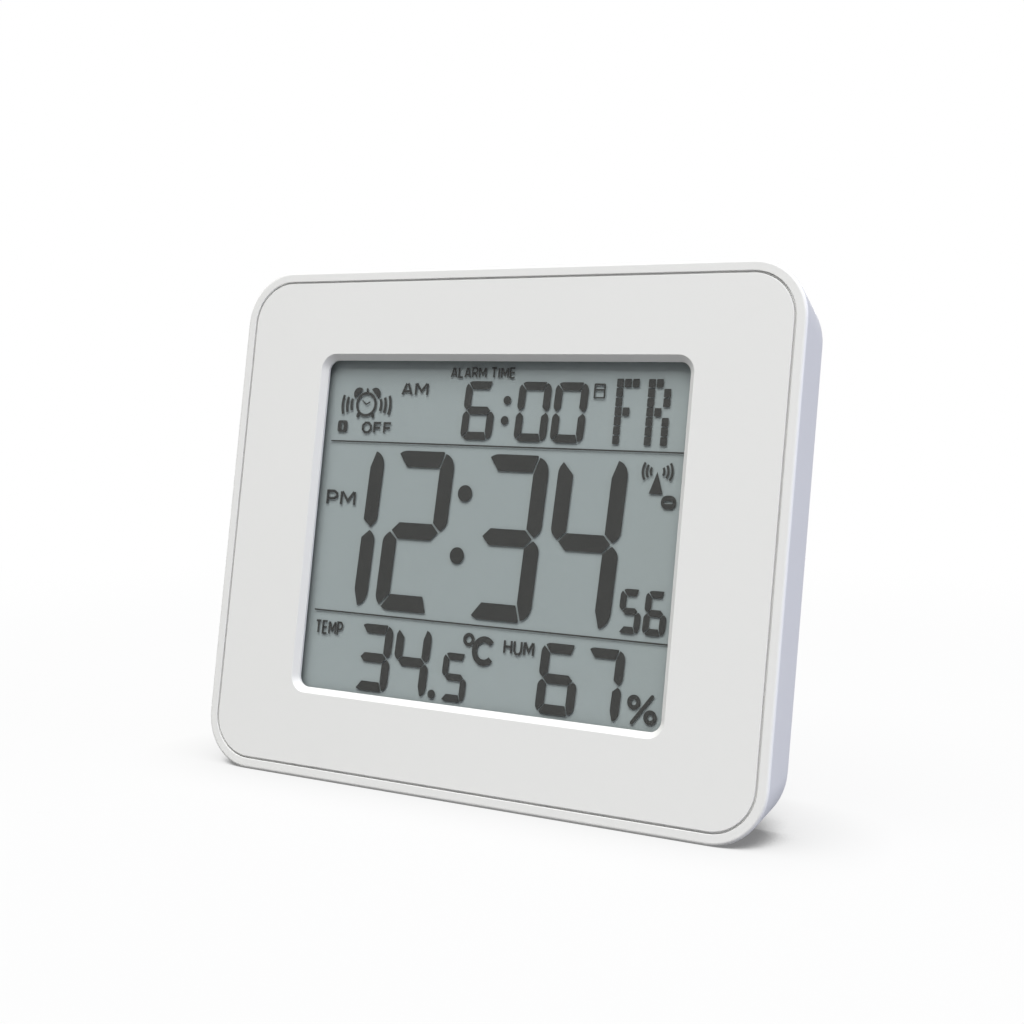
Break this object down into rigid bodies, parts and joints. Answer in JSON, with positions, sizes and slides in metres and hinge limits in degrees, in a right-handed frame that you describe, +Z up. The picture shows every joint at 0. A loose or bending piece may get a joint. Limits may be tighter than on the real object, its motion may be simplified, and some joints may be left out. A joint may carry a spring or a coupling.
{
  "type": "digital desk clock",
  "caption": "Leaning white desk clock with a bevelled liquid crystal display, back buttons, alarm slide switch, snooze bar and a hinged battery door.",
  "frame": {"origin": "centre of the footprint of the overall box, on the surface that the clock stands on", "axes": "+X to the right as the face is read, +Y from the face to the back, +Z up"},
  "size_m": [0.1146, 0.0348, 0.0934],
  "materials": {
    "case_plastic": "satin white moulding",
    "control_plastic": "satin pale grey moulding",
    "knob_plastic": "satin grey moulding",
    "retainer_plastic": "as moulded",
    "clear_lens": "clear acrylic",
    "lcd_glass": "glass cell with polariser",
    "lcd_background": "grey green reflector film",
    "contact_rubber": "layered silicone",
    "circuit_board": "green solder mask",
    "black_resin": "black resin",
    "plated_steel": "nickel plated",
    "ferrite": "sintered",
    "copper_winding": "enamelled wire",
    "cell_jacket": "plain printed jacket",
    "red_lead": "insulated wire"
  },
  "bodies": {
    "clock_body": {"rear_case": "case_plastic", "face_panel": "case_plastic", "display_lens": "clear_lens", "lcd_cell": "lcd_glass", "lcd_reflector": "lcd_background", "lcd_retainer": "retainer_plastic", "contact_strip_upper": "contact_rubber", "contact_strip_lower": "contact_rubber", "main_board": "circuit_board", "controller_blob": "black_resin", "receiver_chip": "black_resin", "quartz_crystal": "plated_steel", "humidity_sensor": "retainer_plastic", "buzzer": "black_resin", "antenna_rod": "ferrite", "antenna_coil": "copper_winding", "battery_lower": "cell_jacket", "battery_upper": "cell_jacket", "bridge_contact": "plated_steel", "positive_contact": "plated_steel", "negative_contact": "plated_steel", "bridge_spring": "plated_steel", "negative_spring": "plated_steel", "positive_lead": "red_lead", "negative_lead": "black_resin", "snooze_switch": "black_resin", "alarm_switch_body": "plated_steel", "time_set_switch": "black_resin", "alarm_set_switch": "black_resin", "up_switch": "black_resin", "down_switch": "black_resin", "receive_switch": "black_resin", "case_screw_1": "plated_steel", "case_screw_2": "plated_steel", "case_screw_3": "plated_steel", "case_screw_4": "plated_steel", "board_screw_1": "plated_steel", "board_screw_2": "plated_steel", "board_screw_3": "plated_steel", "board_screw_4": "plated_steel"},
    "snooze": {"snooze_bar": "control_plastic"},
    "time_set": {"time_set_button": "control_plastic"},
    "alarm_set": {"alarm_set_button": "control_plastic"},
    "up": {"up_button": "control_plastic"},
    "down": {"down_button": "control_plastic"},
    "receive": {"receive_button": "control_plastic"},
    "alarm_switch": {"alarm_knob": "knob_plastic"},
    "door": {"battery_door": "case_plastic"}
  },
  "joints": [
    {"name": "snooze_press", "type": "slide", "parent": "clock_body", "child": "snooze", "axis": [0, -0.1771, -0.9842], "range_m": [0, 0.001], "stiffness_N_per_m": 1500, "springref_m": -0.0004},
    {"name": "time_set_press", "type": "slide", "parent": "clock_body", "child": "time_set", "axis": [0, -0.9842, 0.1771], "range_m": [0, 0.0007], "stiffness_N_per_m": 1500, "springref_m": -0.0004},
    {"name": "alarm_set_press", "type": "slide", "parent": "clock_body", "child": "alarm_set", "axis": [0, -0.9842, 0.1771], "range_m": [0, 0.0007], "stiffness_N_per_m": 1500, "springref_m": -0.0004},
    {"name": "up_press", "type": "slide", "parent": "clock_body", "child": "up", "axis": [0, -0.9842, 0.1771], "range_m": [0, 0.0007], "stiffness_N_per_m": 1500, "springref_m": -0.0004},
    {"name": "down_press", "type": "slide", "parent": "clock_body", "child": "down", "axis": [0, -0.9842, 0.1771], "range_m": [0, 0.0007], "stiffness_N_per_m": 1500, "springref_m": -0.0004},
    {"name": "receive_press", "type": "slide", "parent": "clock_body", "child": "receive", "axis": [0, -0.9842, 0.1771], "range_m": [0, 0.0007], "stiffness_N_per_m": 1500, "springref_m": -0.0004},
    {"name": "alarm_slide", "type": "slide", "parent": "clock_body", "child": "alarm_switch", "axis": [1, 0, 0], "range_m": [0, 0.004]},
    {"name": "door_swing", "type": "hinge", "parent": "clock_body", "child": "door", "pos_m": [0, 0.01125, 0.00345], "axis": [-1, 0, 0], "range_deg": [0, 75]}
  ]
}
